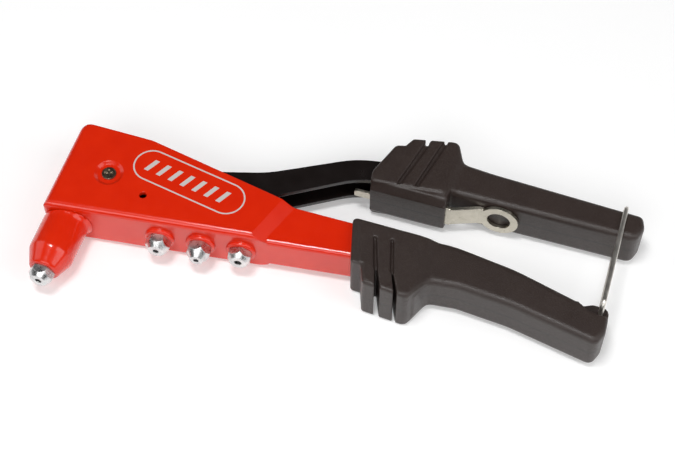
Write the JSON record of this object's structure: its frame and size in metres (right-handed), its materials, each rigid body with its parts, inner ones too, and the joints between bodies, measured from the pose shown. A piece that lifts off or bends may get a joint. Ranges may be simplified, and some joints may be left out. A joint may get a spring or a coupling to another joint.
{
  "type": "hand riveter",
  "caption": "Two-handed blind rivet plier with a pressed steel frame, channel lever, moulded grips, wire bail latch, stored nosepieces and a slide-in spanner.",
  "frame": {"origin": "centre of the mouth of the fitted nosepiece", "axes": "-Y out of the nosepiece along the pulled mandrel, +X towards the ends of the handles, +Z through the tool's thickness; it lies on its side on the plane z = -13 mm"},
  "size_m": [0.2591, 0.1188, 0.026],
  "materials": {
    "red_enamel": "gloss enamel on pressed steel",
    "black_enamel": "gloss enamel on pressed steel",
    "grip_plastic": "fine-grained moulded plastic",
    "zinc_plate": "bright zinc plate",
    "dark_steel": "oiled steel",
    "nickel_plate": "satin nickel plate",
    "bright_wire": "bright plated wire"
  },
  "bodies": {
    "frame": {"frame": "red_enamel", "nose_tube": "red_enamel", "fitted_nosepiece": "zinc_plate", "spare_nosepiece_1": "zinc_plate", "spare_nosepiece_2": "zinc_plate", "spare_nosepiece_3": "zinc_plate", "pivot_pin": "dark_steel", "spring_seat": "dark_steel", "lower_grip": "grip_plastic", "return_spring": "dark_steel"},
    "lever": {"lever": "black_enamel", "pivot_bush": "dark_steel", "upper_grip": "grip_plastic"},
    "jaw_case": {"jaw_case": "dark_steel", "case_tail": "dark_steel", "trunnion_pins": "dark_steel", "jaw_spring": "dark_steel"},
    "jaw_a": {"jaw_a": "dark_steel"},
    "jaw_b": {"jaw_b": "dark_steel"},
    "jaw_pusher": {"jaw_pusher": "dark_steel"},
    "bail": {"bail": "bright_wire"},
    "wrench": {"wrench": "nickel_plate"}
  },
  "joints": [
    {"name": "lever_pivot", "type": "hinge", "parent": "frame", "child": "lever", "pos_m": [0.0126, 0.0556, 0], "axis": [0, 0, 1], "range_deg": [0, 50]},
    {"name": "jaw_case_slide", "type": "slide", "parent": "frame", "child": "jaw_case", "axis": [0, 1, 0], "range_m": [-0.01177, 0], "deforming": ["return_spring"]},
    {"name": "jaw_a_slide", "type": "slide", "parent": "jaw_case", "child": "jaw_a", "axis": [-0.2419, 0.9703, 0], "range_m": [0, 0.0025], "stiffness_N_per_m": 600, "springref_m": -0.002},
    {"name": "jaw_b_slide", "type": "slide", "parent": "jaw_case", "child": "jaw_b", "axis": [0.2419, 0.9703, 0], "range_m": [0, 0.0025]},
    {"name": "jaw_pusher_slide", "type": "slide", "parent": "jaw_case", "child": "jaw_pusher", "axis": [0, 1, 0], "range_m": [0, 0.00243], "deforming": ["jaw_spring"]},
    {"name": "bail_swing", "type": "hinge", "parent": "frame", "child": "bail", "pos_m": [0.2394, 0.0545, 0], "axis": [0, 0, 1], "range_deg": [-110, 0]},
    {"name": "wrench_slide", "type": "slide", "parent": "lever", "child": "wrench", "axis": [1, 0, 0], "range_m": [0, 0.042]}
  ],
  "couplings": [
    {"joint": "jaw_case_slide", "follows": "lever_pivot", "m_per_rad": -0.013466},
    {"joint": "jaw_b_slide", "follows": "jaw_a_slide", "ratio": 1},
    {"joint": "jaw_pusher_slide", "follows": "jaw_a_slide", "ratio": 0.9703}
  ]
}
